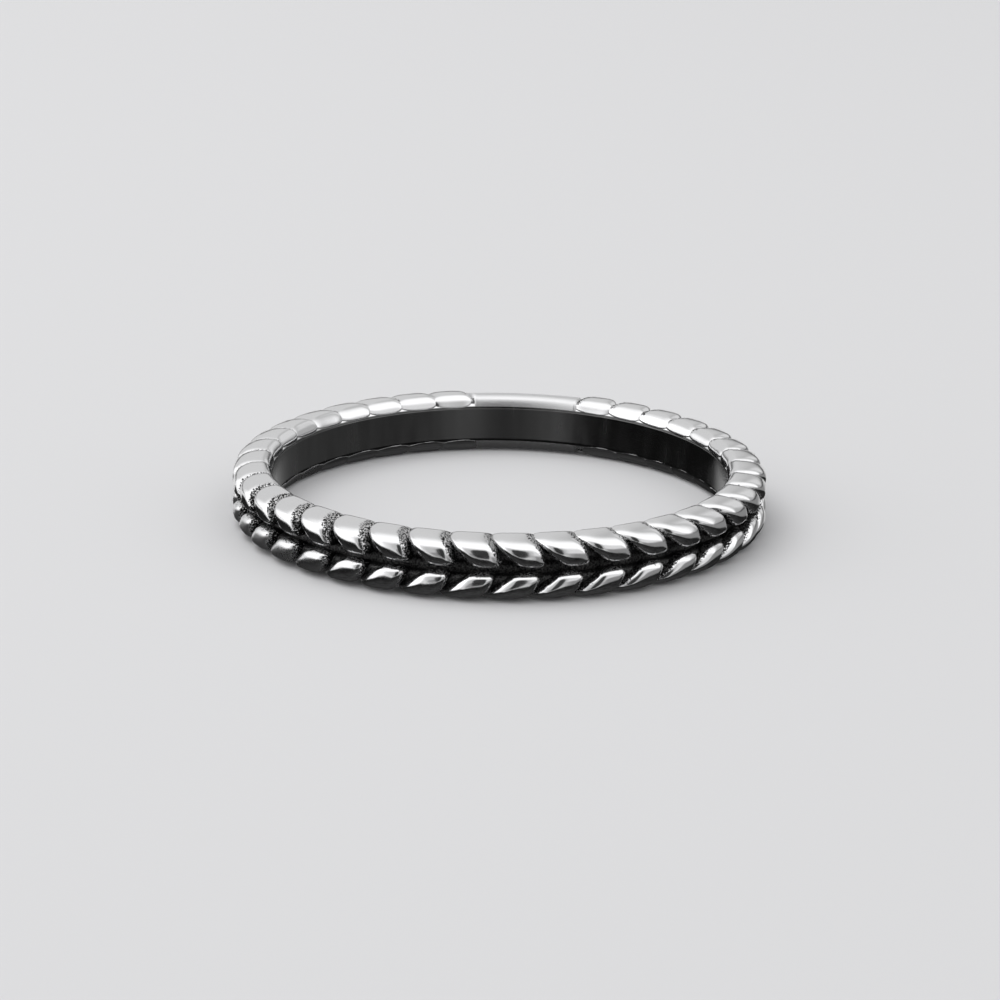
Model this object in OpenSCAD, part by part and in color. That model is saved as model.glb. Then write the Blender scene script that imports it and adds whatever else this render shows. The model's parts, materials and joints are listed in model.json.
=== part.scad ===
// A narrow cast silver ring with a wheat pattern: two rows of slanted grains that meet
// in chevrons at the middle of the band, and one short plain stretch without grains.
// The ring lies on its side. Z is the finger's axis, z = 0 is the surface it rests on,
// and angles round the ring are counted from +X, anticlockwise seen from above.

/* [Hoop] */
// Diameter of the finger hole, a US ring size 7
bore_d = 17.3; // [15:0.1:22]
// Thickness of the wall, from the finger hole to the crowns of the grains
wall_t = 1.55; // [1.3:0.05:1.75]
// Width of the band, along the finger
band_w = 2.34; // [2:0.02:2.8]
// Width of the rounded shoulder beside the finger hole
shoulder_w = 0.42; // [0.3:0.02:0.6]
// Height of the rounded shoulder beside the finger hole
shoulder_h = 0.55; // [0.4:0.05:0.65]
// Height over the mid-line at which each row of grains bulges most
lobe_h = 0.43; // [0.35:0.02:0.55]

/* [Wheat pattern] */
// Number of grains that would fit one full turn of a row
pitches = 38; // [32:1:42]
// Length of the plain stretch, counted in grains
plain_pitches = 3; // [1:1:8]
// Angle at which the plain stretch begins
plain_start = 71; // [0:1:359]
// Depth of the sunk ground below the crowns
ground_depth = 0.5; // [0.35:0.05:0.55]
// How far the lower row is turned against the upper one, in grains
row_shift = -0.12; // [-0.2:0.01:0.1]
// How much more the grains of the lower row slant towards the rim, in grains
row_slant = -0.12; // [-0.15:0.01:0.05]

/* [Hidden] */

bore_r = bore_d / 2;
shoulder_r = bore_r + shoulder_w;
half_w = band_w / 2;
pitch = 360 / pitches;

// The crowns' half section as [radius, height over the mid-plane]. The turn is 0 where the
// row bulges most, 90 at the top of the band and 180 at the edge of the finger hole.
// Past the bulge the turn goes below 0, down into the valley between the two rows.
lobe_squareness = 2.8;
under_lobe_h = 0.48;
shoulder_squareness = 1.9;
function squarish(turn, wide, high, squareness) =
    pow(pow(abs(cos(turn)) / wide, squareness) + pow(abs(sin(turn)) / high, squareness), -1 / squareness)
    * [cos(turn), sin(turn)];
function crown(turn) = turn <= 90
    ? [shoulder_r, lobe_h]
        + squarish(turn, wall_t - shoulder_w, turn > 0 ? half_w - lobe_h : under_lobe_h, lobe_squareness)
    : [shoulder_r, half_w - shoulder_h] + squarish(turn, shoulder_w, shoulder_h, shoulder_squareness);

// How far a turn is on its way from one turn (0) to another (1).
function between(turn, low, high) = min(max((turn - low) / (high - low), 0), 1);

// The ground is sunk below the crowns. It is shallow beside the finger hole.
edge_depth_share = 0.13;
fade_from = 45;
fade_to = 125;
function depth(turn) = ground_depth * (1 - (1 - edge_depth_share) * between(turn, fade_from, fade_to));

// Lift 1 is the crowns of the grains, lift 0 is the sunk ground between them.
function section(turn, lift) = crown(turn) - (1 - lift) * depth(turn) * [cos(turn), sin(turn)];

// The middle line of a grain leans forward on its way from the finger hole to the mid-line.
lean_at_rim = 0.225;
lean_at_mid = 0.74;
lean_from = -35;
lean_to = 75;
function lean(turn) =
    lean_at_rim + (lean_at_mid - lean_at_rim) * (1 + cos(180 * between(turn, lean_from, lean_to))) / 2;

// A point of the upper half of the band from its [radius, height], where forward counts
// pitches round the ring and the point leans with the grains at its turn.
function on_band(place, turn, forward) =
    let (angle = plain_start + pitch * (forward + lean(turn)))
    [place[0] * cos(angle), place[0] * sin(angle), place[1]];

// The rows of points from the valley at the mid-line to the edge of the finger hole. Each
// has its turn, a grain's half width in pitches on its steep back side and on its gentle
// leading side, the lift of the groove beside the grain and the lift of the grain's crown.
// Grains stand apart near the mid-line and meet in shallower grooves towards the rim.
TURN = 0;
BACK = 1;
LEADING = 2;
GROOVE = 3;
CROWN = 4;
rows = [
    [-34, 0.10, 0.18, 0.00, 0.40],
    [-20, 0.28, 0.36, 0.00, 0.82],
    [  0, 0.38, 0.43, 0.00, 1.00],
    [ 22, 0.43, 0.53, 0.00, 1.00],
    [ 45, 0.42, 0.56, 0.42, 1.00],
    [ 66, 0.40, 0.59, 0.60, 1.00],
    [ 90, 0.39, 0.60, 0.61, 1.00],
    [122, 0.39, 0.60, 0.58, 1.00],
    [158, 0.37, 0.60, 0.40, 1.00],
];

// The points across a grain. Each has its place between the back side (-1) and the leading
// side (1), and its share of the height between the groove and the crown.
PLACE = 0;
SHARE = 1;
grain_profile = [
    [-1.00, 0.00],
    [-0.88, 0.60],
    [-0.52, 0.94],
    [ 0.04, 1.00],
    [ 0.74, 0.82],
    [ 1.00, 0.00],
];

// One line of points over the upper half of the band, across a grain.
function grain_line(grain, profile) = [
    for (row = rows)
        let (
            reach = profile[PLACE] < 0 ? row[BACK] : row[LEADING],
            lift = row[GROOVE] + (row[CROWN] - row[GROOVE]) * profile[SHARE]
        )
        on_band(section(row[TURN], lift), row[TURN], grain + profile[PLACE] * reach)
];

// The plain stretch is a little lower than the crowns, and flat across the mid-line. At each
// end it steps down to the grooves.
plain_lift = 0.72;
plain_from = -0.34;
plain_to = plain_pitches - 0.5;
plain_steps = 3 * plain_pitches;
step_t = 0.03;
flat_share = 1 / 42;
function flat_place(turn, lift) = turn < 0
    ? [section(0, lift)[0], lobe_h * (1 + turn * flat_share)]
    : section(turn, lift);
function plain_line(forward) = [
    for (row = rows) on_band(flat_place(row[TURN], plain_lift), row[TURN], forward)
];
function step_line(forward) = [
    for (row = rows) on_band(flat_place(row[TURN], row[GROOVE]), row[TURN], forward)
];

// The same line on the lower half, mirrored and shifted round the ring.
slant_to = 70;
function below(line) = [
    for (i = [0 : len(line) - 1])
        let (p = line[i], a = pitch * (row_shift + row_slant * between(rows[i][TURN], 0, slant_to)))
        [p[0] * cos(a) - p[1] * sin(a), p[0] * sin(a) + p[1] * cos(a), -p[2]]
];

// A point inside the finger hole, level with the end of a line. The hole is cut out later.
core_t = 0.3;
function core(line) =
    let (last = line[len(line) - 1], share = (bore_r - core_t) / norm([last[0], last[1]]))
    [last[0] * share, last[1] * share, last[2]];

// The closed outline of the whole section that starts with a line of the upper half.
function backwards(line) = [for (i = [len(line) - 1 : -1 : 0]) line[i]];
function outline(line) = concat(line, [core(line)], [core(below(line))], backwards(below(line)));

// The outlines round the ring, first over the plain stretch and then over the grains.
outlines = concat(
    [outline(step_line(plain_from - step_t))],
    [
        for (i = [0 : plain_steps])
            outline(plain_line(plain_from + (plain_to - plain_from) * i / plain_steps))
    ],
    [outline(step_line(plain_to + step_t))],
    [
        for (grain = [plain_pitches : pitches - 1], profile = grain_profile)
            outline(grain_line(grain, profile))
    ]
);

// The two triangles of each quad between neighbouring outlines, all round the ring.
sides = 2 * len(rows) + 2;
skin = [
    for (i = [0 : len(outlines) - 1], k = [0 : sides - 1])
        let (
            here = i * sides,
            ahead = ((i + 1) % len(outlines)) * sides,
            next = (k + 1) % sides
        )
        each [[here + k, here + next, ahead + next], [here + k, ahead + next, ahead + k]]
];

module wheat_ring() {
    color([0.78, 0.78, 0.8])
    translate([0, 0, half_w])
    difference() {
        polyhedron([for (points = outlines) each points], skin);
        cylinder(h = 2 * band_w, r = bore_r, center = true, $fn = 96);
    }
}

wheat_ring();
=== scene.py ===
import json
import math
import random

import bmesh
import bpy
from mathutils import Matrix, Vector


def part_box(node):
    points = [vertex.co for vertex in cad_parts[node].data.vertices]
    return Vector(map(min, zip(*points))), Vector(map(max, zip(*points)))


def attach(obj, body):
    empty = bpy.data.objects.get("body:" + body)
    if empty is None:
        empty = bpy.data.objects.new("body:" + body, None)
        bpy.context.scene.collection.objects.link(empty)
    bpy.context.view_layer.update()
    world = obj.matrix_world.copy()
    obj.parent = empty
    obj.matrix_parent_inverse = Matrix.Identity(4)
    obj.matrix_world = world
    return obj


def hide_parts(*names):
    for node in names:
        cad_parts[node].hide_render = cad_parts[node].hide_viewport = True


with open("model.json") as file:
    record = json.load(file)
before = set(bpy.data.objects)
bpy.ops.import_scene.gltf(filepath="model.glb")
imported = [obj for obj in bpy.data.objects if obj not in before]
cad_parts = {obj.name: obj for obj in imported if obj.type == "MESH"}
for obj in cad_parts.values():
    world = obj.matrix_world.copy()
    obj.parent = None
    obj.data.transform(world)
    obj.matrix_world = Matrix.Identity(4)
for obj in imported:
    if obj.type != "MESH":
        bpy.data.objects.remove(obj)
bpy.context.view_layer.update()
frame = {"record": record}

MM = 0.001

# The finger hole's radius and the ring's place come from the frame
bore = next(m for m in frame["record"]["mounts"] if m["name"] == "finger_hole")
BORE_R = bore["dims"]["r_mm"] * MM
RING_LOW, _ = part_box("wheat_ring")
# The band's half width and its wall, as in the CAD
HALF_W = 1.17 * MM
WALL_T = 1.55 * MM
MID_Z = RING_LOW[2] + HALF_W
CROWN_R = BORE_R + WALL_T

# The band's section. Turns are in degrees, 0 outwards at a row's bulge and 90 towards the rim
SHOULDER_W = 0.42 * MM
SHOULDER_H = 0.55 * MM
SHOULDER_R = BORE_R + SHOULDER_W
SHOULDER_SQUARENESS = 1.9
LOBE_H = 0.43 * MM
LOBE_SQUARENESS = 2.8
UNDER_LOBE_H = 0.48 * MM
LOWEST_TURN = -34.0
HIGHEST_TURN = 179.5
TURN_STEPS = 48
GROUND_DEPTH = 0.5 * MM
EDGE_DEPTH_SHARE = 0.13
GROUND_FADE = (45.0, 125.0)
GROUND_RISE = (150.0, 172.0)
# Beside the finger hole polishing reaches the ground too: by this share, over these turns
EDGE_POLISH = 0.85
EDGE_POLISH_TURNS = (85.0, 150.0)

# The wheat pattern, with angles in degrees from +X
PITCHES = 38
PLAIN_PITCHES = 3
PITCH = 360 / PITCHES
PLAIN_START = 71.0
PLAIN_FROM = -0.36
PLAIN_TO = 2.5
PLAIN_LIFT = 0.72
STEPS_PER_PITCH = 8
PLAIN_STEPS = 32
# Silver shows polished where polishing reaches above this, from 0 in the ground to 1 on the crowns
POLISHED_ABOVE = 0.74
# How far grains lean forward at the mid-line and at the rim, in pitches, and the turns between
LEAN = (0.74, 0.225)
LEAN_TURNS = (-35.0, 75.0)
# How far each row is turned round the ring at the mid-line and at the rim, and the turns between
UPPER_ROW_SHIFT = (0.0, 0.0)
LOWER_ROW_SHIFT = (-0.12, -0.24)
SHIFT_TURNS = (0.0, 70.0)

# One grain: turns of its ends and of its widest place
GRAIN_BORE_END = 173.0
GRAIN_WIDEST = 40.0
GRAIN_MID_END = -36.0
# Each pair below has the values at the mid-line and at the rim, and then the turns between.
# Half widths in pitches on its back side and its leading side
BACK_REACH = (0.46, 0.42)
BACK_REACH_TURNS = (10, 80)
LEADING_REACH = (0.46, 0.70)
LEADING_REACH_TURNS = (5, 65)
# Where polishing stops on each side, as a share of the reach
BACK_POLISHED = (0.84, 0.92)
BACK_POLISHED_TURNS = (-15, 30)
UPPER_LEADING_POLISHED = (0.86, 0.62)
LOWER_LEADING_POLISHED = (0.88, 0.85)
LEADING_POLISHED_TURNS = (-5, 50)
# Behind the ring's left side, before these angles, the leading sides are polished further
BEHIND_LEFT_POLISHED = 0.88
LEFT_SIDE = (180.0, 208.0)
# How fast polishing falls off: towards its edge, and past it
POLISH_SHARPNESS = 6
PAST_POLISHED = 0.3
# Rubbing leaves pale spots in the blackening: few on the back side, and more over these turns
BACK_WEAR = 0.1
LEADING_WEAR_TURNS = (0, 40)
GROUND_WEAR_TURNS = (60.0, 120.0)
RIM_WEAR_TURNS = (85.0, 120.0)
# How late the polished area fades out on its way to the mid-line
UPPER_POLISH_AT_MID = 4.1
LOWER_POLISH_AT_MID = 5.5
# How squarish its outline and its crown are towards the finger hole and towards the mid-line
OUTLINE_AT_BORE = 6.0
BACK_OUTLINE_AT_MID = 2.0
LEADING_OUTLINE_AT_MID = 2.8
CROWN_AT_BORE = 100.0
CROWN_AT_MID = 3.2
# How squarish its cross section is. The leading side stays flat for long and then slopes down
# under the next grain
BACK_SQUARENESS = (2.6, 3.6)
BACK_SQUARENESS_TURNS = (0, 50)
LEADING_FLATNESS = 4.6
LEADING_SLOPE = 1.6
# Depth of the root below the ground, as a share of the crown's height over it
ROOT_DEPTH = 0.3
# How much grains differ: in width and height as shares, and in place in pitches
WIDTH_SPREAD = 0.03
HEIGHT_SPREAD = 0.02
PLACE_SPREAD = 0.015


def link(name, bm, *materials):
    """Makes a smooth-shaded object of the bmesh, in the frame, that rides on the ring's body."""
    bmesh.ops.recalc_face_normals(bm, faces=bm.faces)
    for face in bm.faces:
        face.smooth = True
    mesh = bpy.data.meshes.new(name)
    bm.to_mesh(mesh)
    bm.free()
    piece = bpy.data.objects.new(name, mesh)
    bpy.context.scene.collection.objects.link(piece)
    for material in materials:
        mesh.materials.append(material)
    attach(piece, "root")
    return piece


def between(value, low, high):
    """0 at or below low, 1 at or above high, and in proportion between."""
    return min(max((value - low) / (high - low), 0), 1)


def blend(ends, share):
    """The first end at share 0, the second at share 1, and in proportion between."""
    return ends[0] + (ends[1] - ends[0]) * share


def superellipse(turn, wide, high, squareness):
    """Point of a squarish quarter round, seen from its centre in the direction of turn."""
    c, s = math.cos(math.radians(turn)), math.sin(math.radians(turn))
    reach = (abs(c / wide) ** squareness + abs(s / high) ** squareness) ** (-1 / squareness)
    return reach * c, reach * s


def crown_point(turn):
    """Radius and height over the mid-plane of the crowns: turn 0 faces outwards, 90 upwards."""
    if turn <= 90:
        high = HALF_W - LOBE_H if turn > 0 else UNDER_LOBE_H
        x, y = superellipse(turn, CROWN_R - SHOULDER_R, high, LOBE_SQUARENESS)
        return SHOULDER_R + x, LOBE_H + y
    x, y = superellipse(turn, SHOULDER_W, SHOULDER_H, SHOULDER_SQUARENESS)
    return SHOULDER_R + x, HALF_W - SHOULDER_H + y


def depth(turn):
    """Depth of the ground under the crowns. It is shallow beside the finger hole."""
    return GROUND_DEPTH * (1 - (1 - EDGE_DEPTH_SHARE) * between(turn, *GROUND_FADE))


def section_point(turn, lift):
    """Radius and height over the mid-plane at this lift: 1 is the crowns and 0 the ground."""
    radius, height = crown_point(turn)
    sink = (1 - lift) * depth(turn)
    return radius - sink * math.cos(math.radians(turn)), height - sink * math.sin(math.radians(turn))


def on_band(turn, angle, lift, side):
    """A point of the band. Side 1 is its upper half and -1 its lower half."""
    radius, height = section_point(turn, lift)
    a = math.radians(angle)
    return Vector((radius * math.cos(a), radius * math.sin(a), MID_Z + side * height))


def lean(turn):
    """How far a grain's middle line has leaned forward, in pitches."""
    at_mid, at_rim = LEAN
    wave = (1 + math.cos(math.pi * between(turn, *LEAN_TURNS))) / 2
    return at_rim + (at_mid - at_rim) * wave


def exposure(turn, lift):
    """How far polishing reaches a point: 1 on the crowns, 0 at the bottom of the deepest ground."""
    hidden = 1 - EDGE_POLISH * between(turn, *EDGE_POLISH_TURNS)
    return 1 - (1 - lift) * hidden


def taper(turn, at_bore, at_mid):
    """Share of a grain's full width or height at this turn: 1 at its widest place, 0 at its ends."""
    if turn > GRAIN_WIDEST:
        way, squareness = (turn - GRAIN_WIDEST) / (GRAIN_BORE_END - GRAIN_WIDEST), at_bore
    else:
        way, squareness = (turn - GRAIN_WIDEST) / (GRAIN_MID_END - GRAIN_WIDEST), at_mid
    return max(1 - min(way, 1) ** squareness, 0) ** (1 / squareness)


def grain_point(along, across, up, leading_polished, polish_at_mid):
    """Turn, pitches forward, lift, polish and wear of a grain's point, bent from a unit ball's.

    Along is 1 at the finger hole and -1 at the mid-line, across is -1 on the back side and 1 on
    the leading side, up is 1 on the crown and -1 at the root.
    """
    girth = math.sqrt(max(1 - along * along, 1e-12))
    reach = GRAIN_BORE_END - GRAIN_WIDEST if along > 0 else GRAIN_WIDEST - GRAIN_MID_END
    turn = GRAIN_WIDEST + reach * along
    share = max(up / girth, -1)
    if across < 0:
        squareness = blend(BACK_SQUARENESS, between(turn, *BACK_SQUARENESS_TURNS))
        side = -abs(across / girth) ** (2 / squareness)
        reach = blend(BACK_REACH, between(turn, *BACK_REACH_TURNS))
        reach *= taper(turn, OUTLINE_AT_BORE, BACK_OUTLINE_AT_MID)
        polished = blend(BACK_POLISHED, between(turn, *BACK_POLISHED_TURNS))
        wear = BACK_WEAR
    else:
        side = (across / girth) ** (2 / LEADING_FLATNESS)
        share = math.copysign(abs(share) ** (2 / LEADING_SLOPE), share)
        reach = blend(LEADING_REACH, between(turn, *LEADING_REACH_TURNS))
        reach *= taper(turn, OUTLINE_AT_BORE, LEADING_OUTLINE_AT_MID)
        polished = blend(leading_polished, between(turn, *LEADING_POLISHED_TURNS))
        wear = between(turn, *LEADING_WEAR_TURNS)
    crown = taper(turn, CROWN_AT_BORE, CROWN_AT_MID)
    past = max(abs(side) / polished - 1, 0) / (1 / polished - 1)
    if past > 0:
        polish = POLISHED_ABOVE - PAST_POLISHED * past
    else:
        polish = 1 - (1 - POLISHED_ABOVE) * (abs(side) / polished) ** POLISH_SHARPNESS
    if turn > GRAIN_WIDEST:
        fade = crown
    else:
        fade = 1 - between(turn, GRAIN_WIDEST, GRAIN_MID_END) ** polish_at_mid
    return turn, side * reach, share * crown, max(polish, 0) * fade, wear


# Materials. Noise scales count per metre, and pairs are the ends of a range
SILVER = (0.93, 0.93, 0.94, 1)
BLACKENED_ROUGHNESS = 0.5
SCUFFED = 1.6
BUMP_DISTANCE = 0.02 * MM
GRAIN_NOISE = 16000
BROAD_NOISE = 2500
WAVY_NOISE = 1400
FAINT_NOISE = 9000
BROAD_SHARE = 0.2
WAVY_HEIGHT = 0.15
FAINT_HEIGHT = 0.012
# Half the lift over which blackened turns into polished
POLISH_EDGE = 0.02
# Lifts between which rubbing sets in, how pale it makes its spots, and how sharp they are
RUBBED = (0.2, 0.6)
RUBBED_SHADE = 0.75
SPOTS = (0.49, 0.53)
DARKEST_SOOT = 0.008
# The lower grains at the left, below this height, are satin: X and Z where that fades in
SATIN_FROM_X = (-6 * MM, -8.5 * MM)
SATIN_BELOW_Z = (1.2 * MM, 1.0 * MM)
SATIN_ROUGHNESS = 0.18
# The finger hole's wall: its base colour, painted dark as a painted reflection of the dark surround,
# its roughness, and how much its marks are drawn out along the finger
BORE_PAINTED_DARK = (0.11, 0.16)
BORE_ROUGHNESS = (0.18, 0.32)
BORE_NOISE = 2200
BORE_STRETCH = (1, 1, 0.15)


def node(tree, kind, x=0, y=0, **settings):
    made = tree.nodes.new(kind)
    made.location = (x, y)
    for key, value in settings.items():
        setattr(made, key, value)
    return made


def patina_group():
    """Blackening that polishing has left in the recesses, with a speckled, pitted edge."""
    group = bpy.data.node_groups.new("recess_patina", "ShaderNodeTree")
    for name, value in (
        ("Lift", 1.0),
        ("Wear", 0.0),
        ("Polished Above", POLISHED_ABOVE),
        ("Speckle", 1.6),
        ("Polished Roughness", 0.11),
        ("Soot", 0.05),
    ):
        socket = group.interface.new_socket(name, in_out="INPUT", socket_type="NodeSocketFloat")
        socket.default_value = value
    group.interface.new_socket("Color", in_out="OUTPUT", socket_type="NodeSocketColor")
    group.interface.new_socket("Roughness", in_out="OUTPUT", socket_type="NodeSocketFloat")
    group.interface.new_socket("Height", in_out="OUTPUT", socket_type="NodeSocketFloat")
    given = node(group, "NodeGroupInput", -1400, 0)
    out = node(group, "NodeGroupOutput", 600, 0)
    join = group.links.new
    coords = node(group, "ShaderNodeTexCoord", -1600, -400)

    def noise(scale, detail, rough, x, y):
        made = node(group, "ShaderNodeTexNoise", x, y)
        made.inputs["Scale"].default_value = scale
        made.inputs["Detail"].default_value = detail
        made.inputs["Roughness"].default_value = rough
        join(coords.outputs["Object"], made.inputs["Vector"])
        return made.outputs["Fac"]

    def maths(operation, first, second, third=None, x=0, y=0):
        made = node(group, "ShaderNodeMath", x, y, operation=operation)
        for socket, value in zip(made.inputs, (first, second, third)):
            if value is None:
                continue
            if isinstance(value, (int, float)):
                socket.default_value = value
            else:
                join(value, socket)
        return made.outputs[0]

    def span(value, low, high, to_low, to_high, x=0, y=0):
        made = node(group, "ShaderNodeMapRange", x, y)
        limits = {"From Min": low, "From Max": high, "To Min": to_low, "To Max": to_high}
        for name, number in limits.items():
            if isinstance(number, (int, float)):
                made.inputs[name].default_value = number
            else:
                join(number, made.inputs[name])
        join(value, made.inputs["Value"])
        return made.outputs["Result"]

    fine = noise(GRAIN_NOISE, 3, 0.6, -1200, -300)
    grit = noise(GRAIN_NOISE, 2, 0.6, -1200, -420)
    broad = noise(BROAD_NOISE, 2, 0.5, -1200, -550)
    sunk = span(given.outputs["Lift"], 1.0, 0.5, 0.0, 1.0, -1000, 200)
    reach = maths("MULTIPLY", sunk, given.outputs["Speckle"], x=-800, y=200)
    broad_part = maths("SUBTRACT", broad, 0.5, x=-1000, y=-500)
    fine_part = maths("SUBTRACT", fine, 0.5, x=-1000, y=-300)
    uneven = maths("MULTIPLY_ADD", broad_part, BROAD_SHARE, fine_part, -900, -400)
    speckled = maths("MULTIPLY_ADD", uneven, reach, given.outputs["Lift"], -650, -100)
    over = maths("SUBTRACT", speckled, given.outputs["Polished Above"], x=-500, y=0)
    polish = span(over, -POLISH_EDGE, POLISH_EDGE, 0.0, 1.0, -300, 0)
    rubbed = span(speckled, *RUBBED, 0.0, RUBBED_SHADE, -700, -300)
    worn = maths("MULTIPLY", rubbed, given.outputs["Wear"], x=-500, y=-300)
    spots = span(grit, *SPOTS, 0.0, 1.0, -500, -450)
    soot = span(fine, 0.35, 0.7, DARKEST_SOOT, given.outputs["Soot"], -500, -600)
    shade = maths("MULTIPLY_ADD", worn, spots, soot, -300, -300)
    dark = node(group, "ShaderNodeCombineColor", -100, -300)
    for socket in dark.inputs[:3]:
        join(shade, socket)
    mix = node(group, "ShaderNodeMix", 100, 100, data_type="RGBA")
    join(polish, mix.inputs["Factor"])
    join(dark.outputs[0], mix.inputs["A"])
    mix.inputs["B"].default_value = SILVER
    join(mix.outputs["Result"], out.inputs["Color"])
    place = node(group, "ShaderNodeSeparateXYZ", -1200, 500)
    join(coords.outputs["Object"], place.inputs[0])
    at_left = span(place.outputs["X"], *SATIN_FROM_X, 0.0, SATIN_ROUGHNESS, -900, 600)
    below = span(place.outputs["Z"], *SATIN_BELOW_Z, 0.0, 1.0, -900, 450)
    handled = maths("MULTIPLY", at_left, below, x=-700, y=500)
    satin = maths("ADD", given.outputs["Polished Roughness"], handled, x=-600, y=400)
    scratched = maths("MULTIPLY", satin, SCUFFED, x=-500, y=300)
    scuffed = span(fine, 0.35, 0.75, satin, scratched, -300, 300)
    rough = node(group, "ShaderNodeMix", 100, -100, data_type="FLOAT")
    join(polish, rough.inputs["Factor"])
    rough.inputs["A"].default_value = BLACKENED_ROUGHNESS
    join(scuffed, rough.inputs["B"])
    join(rough.outputs["Result"], out.inputs["Roughness"])
    unpolished = maths("SUBTRACT", 1.0, polish, x=0, y=-500)
    pitted = maths("MULTIPLY", unpolished, maths("ADD", fine, grit), x=150, y=-500)
    waves = noise(WAVY_NOISE, 1, 0.4, -1200, -800)
    grazes = noise(FAINT_NOISE, 2, 0.5, -1200, -1000)
    wavy = maths("MULTIPLY", waves, WAVY_HEIGHT, x=0, y=-700)
    faint = maths("MULTIPLY_ADD", grazes, FAINT_HEIGHT, wavy, 150, -800)
    join(maths("ADD", pitted, faint, x=350, y=-600), out.inputs["Height"])
    return group


def silver_material(name, patina, **inputs):
    """Silver with the patina effect. The inputs are the effect's own, in lower case."""
    material = bpy.data.materials.new(name)
    material.use_nodes = True
    tree = material.node_tree
    shader = tree.nodes["Principled BSDF"]
    shader.inputs["Metallic"].default_value = 1.0
    lift = node(tree, "ShaderNodeAttribute", -900, 0, attribute_name="lift")
    wear = node(tree, "ShaderNodeAttribute", -900, -200, attribute_name="wear")
    effect = node(tree, "ShaderNodeGroup", -600, 0, node_tree=patina)
    for key, value in inputs.items():
        effect.inputs[key.replace("_", " ").title()].default_value = value
    tree.links.new(lift.outputs["Fac"], effect.inputs["Lift"])
    tree.links.new(wear.outputs["Fac"], effect.inputs["Wear"])
    bump = node(tree, "ShaderNodeBump", -300, -200)
    bump.inputs["Distance"].default_value = BUMP_DISTANCE
    bump.inputs["Strength"].default_value = 1.0
    tree.links.new(effect.outputs["Color"], shader.inputs["Base Color"])
    tree.links.new(effect.outputs["Roughness"], shader.inputs["Roughness"])
    tree.links.new(effect.outputs["Height"], bump.inputs["Height"])
    tree.links.new(bump.outputs["Normal"], shader.inputs["Normal"])
    return material


def painted_dark_bore_material():
    """Satin metal with its base colour painted dark, a painted reflection of the dark surround, with
    faint marks along the finger hole's axis.
    """
    material = bpy.data.materials.new("satin_bore_silver_painted_dark")
    material.use_nodes = True
    tree = material.node_tree
    shader = tree.nodes["Principled BSDF"]
    shader.inputs["Metallic"].default_value = 1.0
    coords = node(tree, "ShaderNodeTexCoord", -1200, 0)
    stretch = node(tree, "ShaderNodeMapping", -1000, 0)
    stretch.inputs["Scale"].default_value = BORE_STRETCH
    tree.links.new(coords.outputs["Object"], stretch.inputs["Vector"])
    marks = node(tree, "ShaderNodeTexNoise", -800, 0)
    marks.inputs["Scale"].default_value = BORE_NOISE
    marks.inputs["Detail"].default_value = 4
    tree.links.new(stretch.outputs["Vector"], marks.inputs["Vector"])
    # Painted dark base colour, standing in for the reflection of the dark surround, varied by the
    # marks
    painted_dark_ramp = node(tree, "ShaderNodeMapRange", -550, 100)
    painted_dark_ramp.inputs["From Min"].default_value = 0.3
    painted_dark_ramp.inputs["From Max"].default_value = 0.7
    painted_dark_ramp.inputs["To Min"].default_value, painted_dark_ramp.inputs["To Max"].default_value = BORE_PAINTED_DARK
    tree.links.new(marks.outputs["Fac"], painted_dark_ramp.inputs["Value"])
    painted_dark_tone = node(tree, "ShaderNodeCombineColor", -300, 100)
    for socket in painted_dark_tone.inputs[:3]:
        tree.links.new(painted_dark_ramp.outputs["Result"], socket)
    tree.links.new(painted_dark_tone.outputs[0], shader.inputs["Base Color"])
    rough = node(tree, "ShaderNodeMapRange", -550, -150)
    rough.inputs["To Min"].default_value, rough.inputs["To Max"].default_value = BORE_ROUGHNESS
    tree.links.new(marks.outputs["Fac"], rough.inputs["Value"])
    tree.links.new(rough.outputs["Result"], shader.inputs["Roughness"])
    return material


# Pieces
def band_turns():
    reach = HIGHEST_TURN - LOWEST_TURN
    return [LOWEST_TURN + reach * i / TURN_STEPS for i in range(TURN_STEPS + 1)]


def band_outline(lift_at):
    """Outline of the band's section, from the upper edge of the finger hole to the lower one."""
    upper = [on_band(t, 0, lift_at(t), 1) for t in reversed(band_turns())]
    lower = [on_band(t, 0, lift_at(t), -1) for t in band_turns()]
    return upper + lower


def ground_lift(turn):
    """The sunk ground comes up to the crowns just before the edge of the finger hole."""
    return between(turn, *GROUND_RISE)


# Heights of the finger hole's wall where its faces meet, as shares of the half width, and how far
# a face's centre may lie off that wall to belong to it
WALL_SHARES = (-1, -0.985, -0.95, -0.7, -0.4, 0, 0.4, 0.7, 0.95, 0.985, 1)
WALL_TOLERANCE = 0.02 * MM


def make_hoop(materials):
    """The bore wall and the sunk ground, spun from the section in one full turn."""
    bm = bmesh.new()
    lift_layer = bm.verts.layers.float.new("lift")
    wear_layer = bm.verts.layers.float.new("wear")
    outline = band_outline(ground_lift)
    edge = outline[0].z - MID_Z
    wall = [Vector((BORE_R, 0, MID_Z + edge * share)) for share in WALL_SHARES]
    verts = [bm.verts.new(p) for p in outline + wall]
    turns = band_turns()
    for vert, turn in zip(verts, turns[::-1] + turns):
        vert[lift_layer] = exposure(turn, ground_lift(turn))
        vert[wear_layer] = between(turn, *GROUND_WEAR_TURNS) if vert.co.z > MID_Z else 0
    edges = [bm.edges.new((a, b)) for a, b in zip(verts, verts[1:] + verts[:1])]
    bmesh.ops.spin(
        bm, geom=verts + edges, cent=(0, 0, 0), axis=(0, 0, 1), angle=math.tau,
        steps=PITCHES * STEPS_PER_PITCH, use_merge=True,
    )
    for face in bm.faces:
        centre = face.calc_center_median()
        face.material_index = 1 if math.hypot(centre.x, centre.y) < BORE_R + WALL_TOLERANCE else 0
    return link("hoop", bm, *materials)


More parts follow.
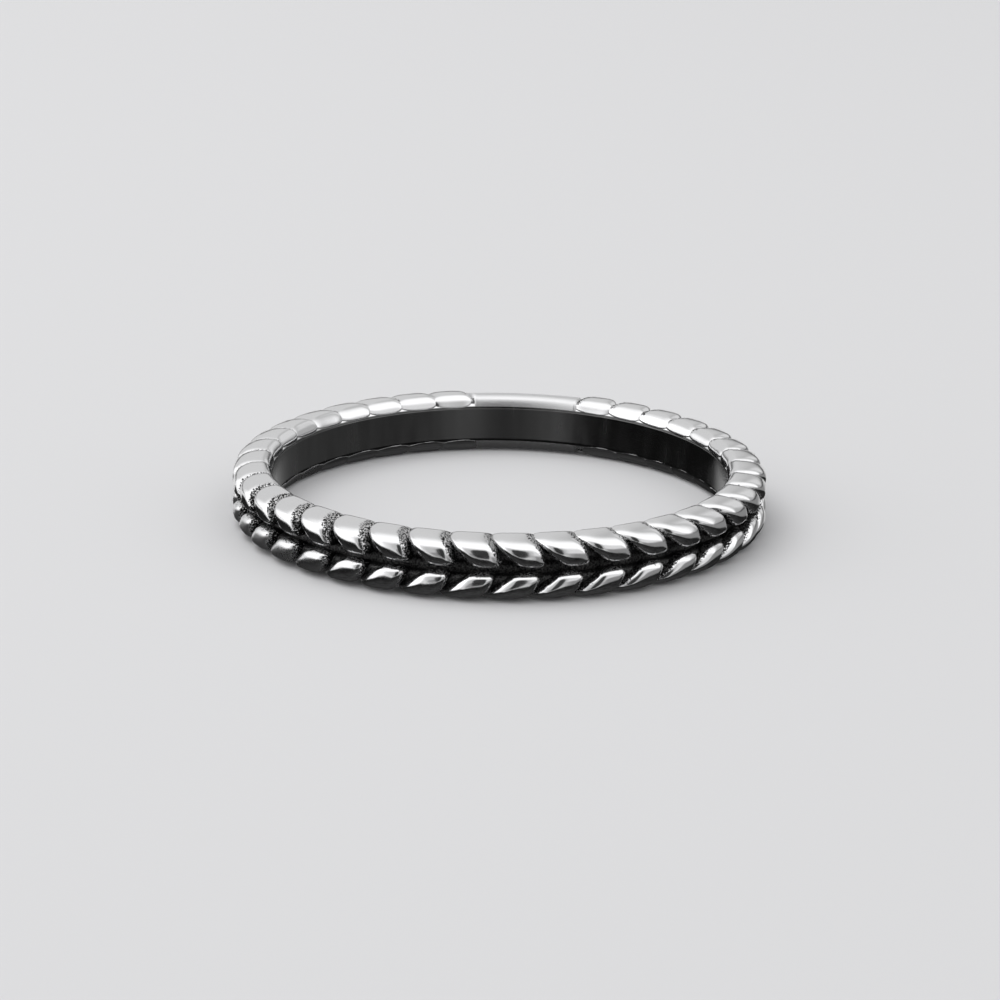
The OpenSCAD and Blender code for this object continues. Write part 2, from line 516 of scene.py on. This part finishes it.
def make_grain(start, side, shifts, leading_polished, polish_at_mid, rng):
    """One grain, a round closed form bent onto the band, its root sunk in the ground."""
    bm = bmesh.new()
    along_x = Matrix.Rotation(math.pi / 2, 4, "Y")
    bmesh.ops.create_uvsphere(bm, u_segments=40, v_segments=44, radius=1, matrix=along_x)
    lift_layer = bm.verts.layers.float.new("lift")
    wear_layer = bm.verts.layers.float.new("wear")
    wide = 1 + rng.uniform(-WIDTH_SPREAD, WIDTH_SPREAD)
    tall = 1 + rng.uniform(-HEIGHT_SPREAD, HEIGHT_SPREAD)
    turned = rng.uniform(-PLACE_SPREAD, PLACE_SPREAD)
    for vert in bm.verts:
        turn, forward, lift, polish, wear = grain_point(*vert.co, leading_polished, polish_at_mid)
        vert[lift_layer] = exposure(turn, polish)
        vert[wear_layer] = wear if side < 0 else max(wear, between(turn, *RIM_WEAR_TURNS))
        lift *= tall if lift > 0 else ROOT_DEPTH
        shift = blend(shifts, between(turn, *SHIFT_TURNS))
        angle = start + PITCH * (lean(turn) + forward * wide + turned + shift)
        vert.co = on_band(turn, angle, lift, side)
    mesh = bpy.data.meshes.new("grain")
    bm.to_mesh(mesh)
    bm.free()
    return mesh


def make_row(name, side, material, seed, shifts, leading_polished, polish_at_mid):
    """One row of grains round the band."""
    rng = random.Random(seed)
    bm = bmesh.new()
    for i in range(PLAIN_PITCHES, PITCHES):
        start = PLAIN_START + i * PITCH
        at_mid, at_rim = leading_polished
        at_rim = max(at_rim, blend((BEHIND_LEFT_POLISHED, at_rim), between(start, *LEFT_SIDE)))
        grain = make_grain(start, side, shifts, (at_mid, at_rim), polish_at_mid, rng)
        bm.from_mesh(grain)
        bpy.data.meshes.remove(grain)
    return link(name, bm, material)


def make_plain_stretch(material):
    """The smooth stretch without grains. Its ends follow the lean of the grains beside it."""
    bm = bmesh.new()
    lift_layer = bm.verts.layers.float.new("lift")
    outline = [p for p in band_outline(lambda turn: PLAIN_LIFT) if abs(p.z - MID_Z) > LOBE_H]
    verts = [bm.verts.new(p) for p in outline]
    edges = [bm.edges.new((a, b)) for a, b in zip(verts, verts[1:] + verts[:1])]
    length = math.radians((PLAIN_TO - PLAIN_FROM) * PITCH)
    bmesh.ops.spin(
        bm, geom=verts + edges, cent=(0, 0, 0), axis=(0, 0, 1), angle=length, steps=PLAIN_STEPS
    )
    bmesh.ops.holes_fill(bm, edges=bm.edges, sides=0)
    start = PLAIN_START + PLAIN_FROM * PITCH
    for vert in bm.verts:
        radius = math.hypot(vert.co.x, vert.co.y)
        angle = math.degrees(math.atan2(vert.co.y, vert.co.x))
        height = abs(vert.co.z - MID_Z)
        turn = math.degrees(math.atan2(height - LOBE_H, radius - SHOULDER_R))
        a = math.radians(start + angle + PITCH * lean(turn))
        vert.co = Vector((radius * math.cos(a), radius * math.sin(a), vert.co.z))
        vert[lift_layer] = 1.0
    return link("plain_stretch", bm, material)


# The camera, fitted to the photo's outlines. Focal length and width are in the photo's pixels
CAMERA_ELEVATION = math.radians(17.491)
CAMERA_DISTANCE = 149.93 * MM
CAMERA_AIM = Vector((0.033 * MM, 0, MID_Z - 0.475 * MM))
CAMERA_ROLL = math.radians(0.831)
FOCAL_PIXELS = 3926.3
PHOTO_WIDTH = 1000
# The floor and the lamp over it, in metres and watts
FLOOR_HALF_SIZE = 1.5
FLOOR_COLOR = (0.62, 0.62, 0.63, 1)
FLOOR_ROUGHNESS = 0.9
LAMP_PLACE = Vector((-0.15, 0.05, 0.35))
LAMP_SIZE = 0.3
LAMP_POWER = 0.6


def look(camera, eye, aim, roll):
    """Puts the camera at the eye, facing the aim, and rolls it."""
    forward = (aim - eye).normalized()
    right = forward.cross(Vector((0, 0, 1))).normalized()
    up = right.cross(forward)
    x = math.cos(roll) * right + math.sin(roll) * up
    y = -math.sin(roll) * right + math.cos(roll) * up
    camera.matrix_world = Matrix((
        (x.x, y.x, -forward.x, eye.x),
        (x.y, y.y, -forward.y, eye.y),
        (x.z, y.z, -forward.z, eye.z),
        (0, 0, 0, 1),
    ))


def make_camera():
    data = bpy.data.cameras.new("camera")
    data.sensor_width = 36
    data.lens = FOCAL_PIXELS / PHOTO_WIDTH * data.sensor_width
    data.clip_start = 1 * MM
    camera = bpy.data.objects.new("camera", data)
    bpy.context.scene.collection.objects.link(camera)
    away = Vector((0, -math.cos(CAMERA_ELEVATION), math.sin(CAMERA_ELEVATION)))
    look(camera, Vector((0, 0, MID_Z)) + CAMERA_DISTANCE * away, CAMERA_AIM, CAMERA_ROLL)
    bpy.context.scene.camera = camera


def make_lamp():
    """A soft lamp that lights the floor and shows in no reflection."""
    data = bpy.data.lights.new("softbox_over", "AREA")
    data.shape = "RECTANGLE"
    data.size = data.size_y = LAMP_SIZE
    data.energy = LAMP_POWER
    lamp = bpy.data.objects.new("softbox_over", data)
    lamp.location = LAMP_PLACE
    lamp.rotation_euler = (-LAMP_PLACE).to_track_quat("-Z", "Y").to_euler()
    lamp.visible_glossy = False
    bpy.context.scene.collection.objects.link(lamp)


def make_floor():
    bm = bmesh.new()
    bmesh.ops.create_grid(bm, x_segments=1, y_segments=1, size=FLOOR_HALF_SIZE)
    mesh = bpy.data.meshes.new("floor")
    bm.to_mesh(mesh)
    bm.free()
    floor = bpy.data.objects.new("floor", mesh)
    bpy.context.scene.collection.objects.link(floor)
    material = bpy.data.materials.new("pale_floor")
    material.use_nodes = True
    shader = material.node_tree.nodes["Principled BSDF"]
    shader.inputs["Base Color"].default_value = FLOOR_COLOR
    shader.inputs["Roughness"].default_value = FLOOR_ROUGHNESS
    mesh.materials.append(material)
    floor.visible_glossy = False


# The surround. Directions are in degrees: front turns in the plane through the camera, from 0 at
# the front horizon over 90 overhead to 180 behind, and side runs from -90 at the left to 90 at the
# right. Z is the height in a direction, from -1 to 1. Each pair is where a patch starts to show and
# where it shows in full, and is named after what it is measured in
CANOPY_LIGHT = 0.4
CANOPY_FRONT = (36, 62)
CANOPY_BACK = (130, 95)
# The wall's light overhead and behind, and what is left of it at the far horizon
WALL_LIGHT = (0.70, 0.62)
WALL_FRONT = (60, 150)
FAR_WALL_SHARE = 0.12
FAR_WALL_FRONT = (177, 168)
BACK_SHADE = 0.36
BACK_SHADE_SIDE = (-2, 16)
BACK_SHADE_FRONT = (105, 140)
WINDOW_LIGHT = 0.28
WINDOW_LOW_FRONT = (172, 160)
WINDOW_HIGH_FRONT = (125, 140)
WINDOW_LEFT_SIDE = (8, 20)
WINDOW_RIGHT_SIDE = (55, 40)
RIGHT_SHADE = 0.68
RIGHT_SHADE_SIDE = (8, 40)
RIGHT_SHADE_Z = (0.18, -0.03)
LEFT_LIGHT = 0.45
LEFT_LIGHT_SIDE = (-40, -58)
LEFT_LIGHT_Z = (-0.12, 0.05)
# The horizon, from which the dark surface below shows, rises towards the left
HORIZON_Z = (-0.34, -0.31)
HORIZON_RISE = 0.2
HORIZON_RISE_SIDE = (-25, -50)
# The dark surface: its light near the horizon and straight below, and how it is mottled
BELOW_LIGHT = (0.012, 0.035)
BELOW_Z = (-0.3, -0.9)
MOTTLE_NOISE = 9
MOTTLE_SPAN = (0.3, 0.7)
MOTTLE_LIGHT = (0.5, 1.5)
# Dark ovals at the front: the middle and the reach in front and in side, softness, depth
DARK_OVALS = (
    (15, 31, 0, 18, 0.12, 0.95),
    (18, 36, -6, 32, 0.2, 0.28),
    (-6, 12, -15, 14, 0.3, 0.5),
)
OVAL_SQUARENESS = 2.6


def make_world():
    """Soft studio surround: bright canopy over the front, grey walls, darkness under the horizon."""
    world = bpy.data.worlds.new("studio")
    bpy.context.scene.world = world
    world.use_nodes = True
    tree = world.node_tree
    join = tree.links.new
    coords = node(tree, "ShaderNodeTexCoord", -1500, 0)
    split = node(tree, "ShaderNodeSeparateXYZ", -1300, 0)
    join(coords.outputs["Generated"], split.inputs[0])

    def maths(operation, *values):
        made = node(tree, "ShaderNodeMath", operation=operation)
        for socket, value in zip(made.inputs, values):
            if isinstance(value, (int, float)):
                socket.default_value = value
            else:
                join(value, socket)
        return made.outputs[0]

    def step(value, low, high, to_low=0.0, to_high=1.0):
        made = node(tree, "ShaderNodeMapRange", interpolation_type="SMOOTHSTEP")
        limits = {"From Min": low, "From Max": high, "To Min": to_low, "To Max": to_high}
        for name, number in limits.items():
            made.inputs[name].default_value = number
        join(value, made.inputs["Value"])
        return made.outputs["Result"]

    def shaded(value, patch, share):
        """The value less this share of it where the patch is 1."""
        return maths("MULTIPLY", value, maths("SUBTRACT", 1.0, maths("MULTIPLY", patch, share)))

    x, y, z = (split.outputs[k] for k in "XYZ")
    front = maths("DEGREES", maths("ARCTAN2", z, maths("MULTIPLY", y, -1.0)))
    side = maths("DEGREES", maths("ARCSINE", x))
    canopy = maths("MULTIPLY", step(front, *CANOPY_FRONT), step(front, *CANOPY_BACK))
    near_wall = step(front, *WALL_FRONT, *WALL_LIGHT)
    wall = maths("MULTIPLY", near_wall, step(front, *FAR_WALL_FRONT, FAR_WALL_SHARE))
    back_shade = maths("MULTIPLY", step(side, *BACK_SHADE_SIDE), step(front, *BACK_SHADE_FRONT))
    wall = shaded(wall, back_shade, BACK_SHADE)
    light = maths("MULTIPLY_ADD", canopy, CANOPY_LIGHT, wall)

    def oval(front_middle, front_reach, side_middle, side_reach, softness):
        """1 inside an oval patch of the surround and 0 outside it."""
        tall = maths("DIVIDE", maths("SUBTRACT", front, front_middle), front_reach)
        wide = maths("DIVIDE", maths("SUBTRACT", side, side_middle), side_reach)
        powers = [maths("POWER", maths("ABSOLUTE", part), OVAL_SQUARENESS) for part in (tall, wide)]
        return step(maths("SQRT", maths("ADD", *powers)), 1 + softness, 1 - softness)

    for *place, depth_share in DARK_OVALS:
        light = shaded(light, oval(*place), depth_share)
    window_tall = maths("MULTIPLY", step(front, *WINDOW_HIGH_FRONT), step(front, *WINDOW_LOW_FRONT))
    window_wide = maths("MULTIPLY", step(side, *WINDOW_LEFT_SIDE), step(side, *WINDOW_RIGHT_SIDE))
    window = maths("MULTIPLY", window_tall, window_wide)
    light = maths("MULTIPLY_ADD", window, WINDOW_LIGHT, light)
    right_shade = maths("MULTIPLY", step(side, *RIGHT_SHADE_SIDE), step(z, *RIGHT_SHADE_Z))
    light = shaded(light, right_shade, RIGHT_SHADE)
    left_light = maths("MULTIPLY", step(side, *LEFT_LIGHT_SIDE), step(z, *LEFT_LIGHT_Z))
    light = maths("MULTIPLY_ADD", left_light, LEFT_LIGHT, light)
    rise = maths("MULTIPLY", step(side, *HORIZON_RISE_SIDE), HORIZON_RISE)
    above = step(maths("SUBTRACT", z, rise), *HORIZON_Z)
    mottle = node(tree, "ShaderNodeTexNoise")
    mottle.inputs["Scale"].default_value = MOTTLE_NOISE
    join(coords.outputs["Generated"], mottle.inputs["Vector"])
    uneven = step(mottle.outputs["Fac"], *MOTTLE_SPAN, *MOTTLE_LIGHT)
    below = maths("MULTIPLY", step(z, *BELOW_Z, *BELOW_LIGHT), uneven)
    light = maths("ADD", maths("MULTIPLY", light, above), below)
    tint = node(tree, "ShaderNodeCombineColor")
    for socket in tint.inputs[:3]:
        join(light, socket)
    join(tint.outputs[0], tree.nodes["Background"].inputs["Color"])


patina = patina_group()
grain_silver = silver_material("polished_silver_grains", patina, speckle=2.0)
lower_silver = silver_material("polished_silver_lower_grains", patina, speckle=2.4)
ground_silver = silver_material("blackened_silver", patina, soot=0.22)
plain_silver = silver_material("satin_silver_plain_stretch", patina, polished_roughness=0.34)
# The finger hole's wall gets a base colour painted dark, a painted reflection of the dark surround
painted_dark_bore_silver = painted_dark_bore_material()

hoop = make_hoop([ground_silver, painted_dark_bore_silver])
upper = make_row(
    "upper_grains", 1, grain_silver, 3, UPPER_ROW_SHIFT, UPPER_LEADING_POLISHED, UPPER_POLISH_AT_MID
)
lower = make_row(
    "lower_grains", -1, lower_silver, 4, LOWER_ROW_SHIFT, LOWER_LEADING_POLISHED, LOWER_POLISH_AT_MID
)
plain = make_plain_stretch(plain_silver)
for piece in (hoop, upper, lower, plain):
    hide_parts("wheat_ring")

make_camera()
make_floor()
make_world()
make_lamp()
bpy.context.scene.view_settings.view_transform = "Standard"
